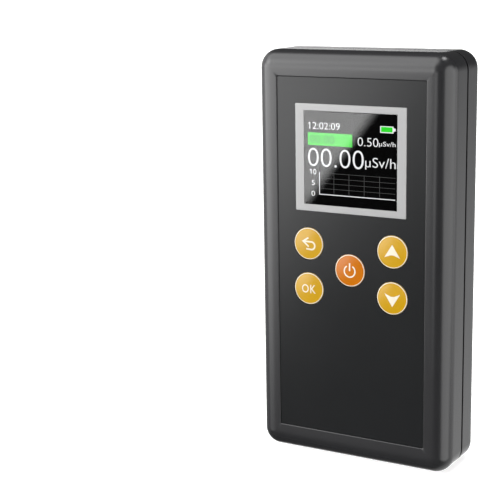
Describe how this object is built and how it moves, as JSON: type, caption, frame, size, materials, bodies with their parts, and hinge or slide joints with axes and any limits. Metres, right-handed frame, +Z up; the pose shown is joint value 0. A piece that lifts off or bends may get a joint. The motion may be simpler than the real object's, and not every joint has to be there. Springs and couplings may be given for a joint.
{
  "type": "geiger counter",
  "caption": "Pocket radiation dose-rate meter with a colour display, five push keys and a sliding battery door.",
  "frame": {"origin": "centre of the bottom end, on the surface that the case stands on", "axes": "+Z up the length of the case, the display faces -Y, +X is to the right of someone reading the display"},
  "size_m": [0.061, 0.023, 0.12],
  "materials": {
    "shell_plastic": "fine spark-eroded texture, satin",
    "overlay_film": "semi-gloss printed sheet",
    "silver_trim": "satin silver",
    "window_clear": "polished, dark tint",
    "clear_adhesive": "optically clear film",
    "black_foam": "closed-cell foam",
    "lcd_glass": "polished dark panel",
    "white_plastic": "moulded",
    "flex_film": "amber film",
    "ivory_plastic": "moulded",
    "board_laminate": "solder mask over laminate",
    "screw_steel": "machined",
    "key_yellow": "satin with a printed symbol",
    "key_orange": "satin with a printed symbol",
    "black_plastic": "moulded",
    "tube_glass": "clear",
    "cathode_metal": "drawn",
    "tinned_metal": "tin plate",
    "spring_bronze": "rolled strip",
    "ferrite": "sintered",
    "copper_wire": "enamelled wire",
    "capacitor_resin": "dipped resin",
    "chip_resin": "moulded epoxy",
    "chip_ceramic": "fired with tinned ends",
    "spring_steel": "plated wire",
    "cell_jacket": "printed plastic sleeve on a can",
    "lead_red_pvc": "insulated lead",
    "lead_black_pvc": "insulated lead"
  },
  "bodies": {
    "case": {"front_shell": "shell_plastic", "rear_shell": "shell_plastic", "overlay_panel": "overlay_film", "window_border": "silver_trim", "display_window": "window_clear", "lens_adhesive": "clear_adhesive", "lcd_panel": "lcd_glass", "lcd_backlight": "white_plastic", "display_gasket": "black_foam", "lcd_holder": "black_plastic", "lcd_flex": "flex_film", "lcd_connector": "ivory_plastic", "main_board": "board_laminate", "board_screws": "screw_steel", "switch_return": "black_plastic", "switch_ok": "black_plastic", "switch_power": "black_plastic", "switch_up": "black_plastic", "switch_down": "black_plastic", "gm_tube_glass": "tube_glass", "gm_tube_cathode": "cathode_metal", "gm_anode_wire": "cathode_metal", "gm_cap_upper": "tinned_metal", "gm_cap_lower": "tinned_metal", "tube_clip_upper": "spring_bronze", "tube_clip_lower": "spring_bronze", "hv_transformer": "ferrite", "hv_winding": "copper_wire", "hv_capacitors": "capacitor_resin", "microcontroller": "chip_resin", "voltage_regulator": "chip_resin", "crystal": "tinned_metal", "chip_parts": "chip_ceramic", "buzzer": "black_plastic", "battery_contacts": "tinned_metal", "battery_springs": "spring_steel", "cell_lower": "cell_jacket", "cell_middle": "cell_jacket", "cell_upper": "cell_jacket", "lead_red": "lead_red_pvc", "lead_black": "lead_black_pvc", "case_screws": "screw_steel"},
    "return_key": {"key_return": "key_yellow", "stem_return": "black_plastic"},
    "ok_key": {"key_ok": "key_yellow", "stem_ok": "black_plastic"},
    "power_key": {"key_power": "key_orange", "stem_power": "black_plastic"},
    "up_key": {"key_up": "key_yellow", "stem_up": "black_plastic"},
    "down_key": {"key_down": "key_yellow", "stem_down": "black_plastic"},
    "door": {"battery_door": "shell_plastic"}
  },
  "joints": [
    {"name": "return_press", "type": "slide", "parent": "case", "child": "return_key", "axis": [0, 1, 0], "range_m": [0, 0.0003], "stiffness_N_per_m": 1500},
    {"name": "ok_press", "type": "slide", "parent": "case", "child": "ok_key", "axis": [0, 1, 0], "range_m": [0, 0.0003], "stiffness_N_per_m": 1500},
    {"name": "power_press", "type": "slide", "parent": "case", "child": "power_key", "axis": [0, 1, 0], "range_m": [0, 0.0003], "stiffness_N_per_m": 1500},
    {"name": "up_press", "type": "slide", "parent": "case", "child": "up_key", "axis": [0, 1, 0], "range_m": [0, 0.0003], "stiffness_N_per_m": 1500},
    {"name": "down_press", "type": "slide", "parent": "case", "child": "down_key", "axis": [0, 1, 0], "range_m": [0, 0.0003], "stiffness_N_per_m": 1500},
    {"name": "door_slide", "type": "slide", "parent": "case", "child": "door", "axis": [0, 0, -1], "range_m": [0, 0.036]}
  ]
}
